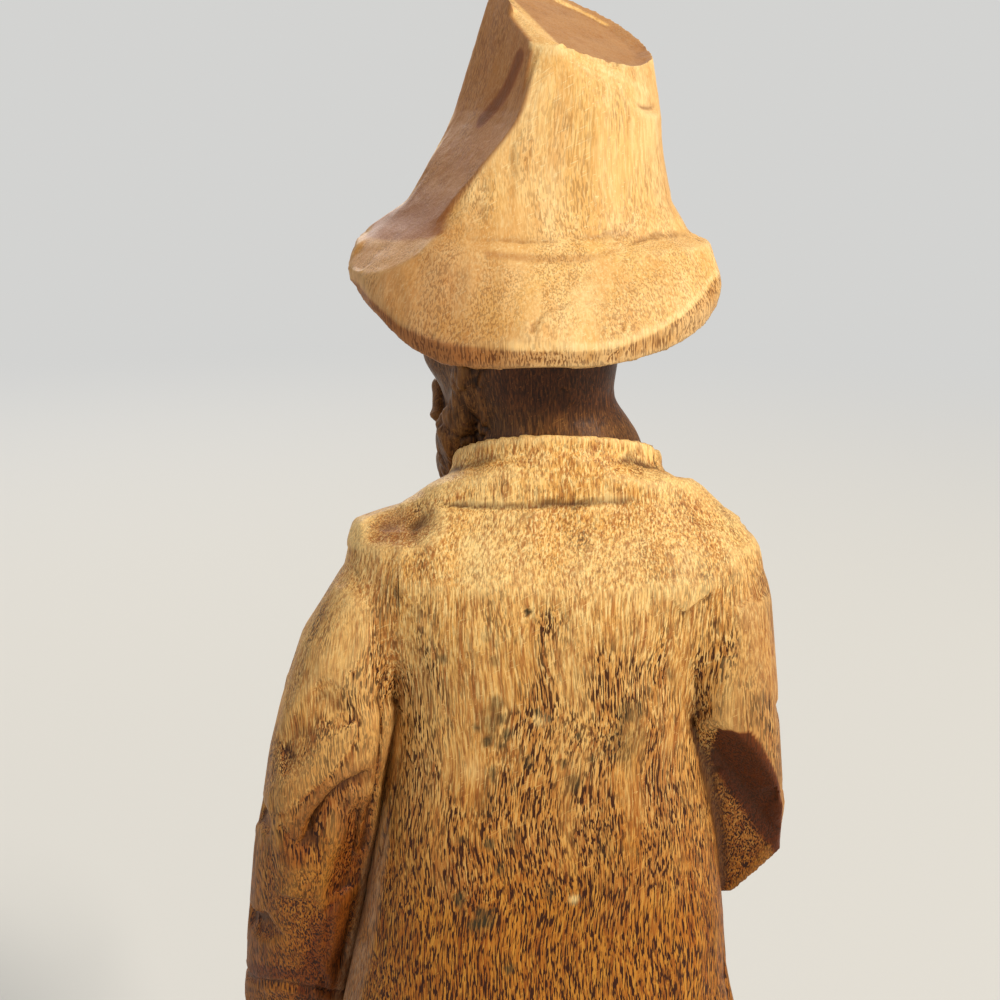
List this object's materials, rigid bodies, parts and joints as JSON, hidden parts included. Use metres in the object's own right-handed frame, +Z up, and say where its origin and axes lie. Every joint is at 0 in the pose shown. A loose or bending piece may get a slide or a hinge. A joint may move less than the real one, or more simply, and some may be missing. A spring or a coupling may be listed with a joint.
{
  "type": "carved wooden beggar figure",
  "caption": "Standing carved wooden beggar in a tall drooping hat and long coat, open begging hand and loose cane, on a hewn wooden base.",
  "frame": {"origin": "on the underside of the base, under the middle of the trunk", "axes": "+Z up through the figure, -Y the way the chest faces, +X the figure's own left"},
  "size_m": [0.1494, 0.1318, 0.4154],
  "materials": {
    "pale_wood": "bare carved wood, waxed, pale gold",
    "coat_wood": "bare carved wood, waxed, golden brown with dark hollows",
    "trouser_wood": "carved wood, darkened by wax and handling",
    "stained_wood": "carved wood with a dark brown stain",
    "cane_wood": "whittled stick, waxed",
    "base_wood": "hewn wood, waxed",
    "dowel_wood": "plain beech dowel",
    "screw_steel": "plain steel wood screw"
  },
  "bodies": {
    "figure": {"hat": "pale_wood", "head": "stained_wood", "coat": "coat_wood", "left_sleeve": "coat_wood", "right_forearm_sleeve": "coat_wood", "left_hand": "stained_wood", "right_hand": "stained_wood", "trousers": "trouser_wood", "left_foot": "stained_wood", "right_foot": "stained_wood", "base": "base_wood", "hat_peg": "dowel_wood", "left_shoulder_dowel_upper": "dowel_wood", "left_shoulder_dowel_lower": "dowel_wood", "right_elbow_dowel": "dowel_wood", "left_wrist_dowel": "dowel_wood", "right_wrist_dowel": "dowel_wood", "waist_dowel_left": "dowel_wood", "waist_dowel_right": "dowel_wood", "base_screw_left": "screw_steel", "base_screw_right": "screw_steel"},
    "cane": {"cane": "cane_wood"}
  },
  "joints": [
    {"name": "cane_lift", "type": "slide", "parent": "figure", "child": "cane", "axis": [-0.0277, 0.0554, 0.9981], "range_m": [0, 0.165]}
  ]
}
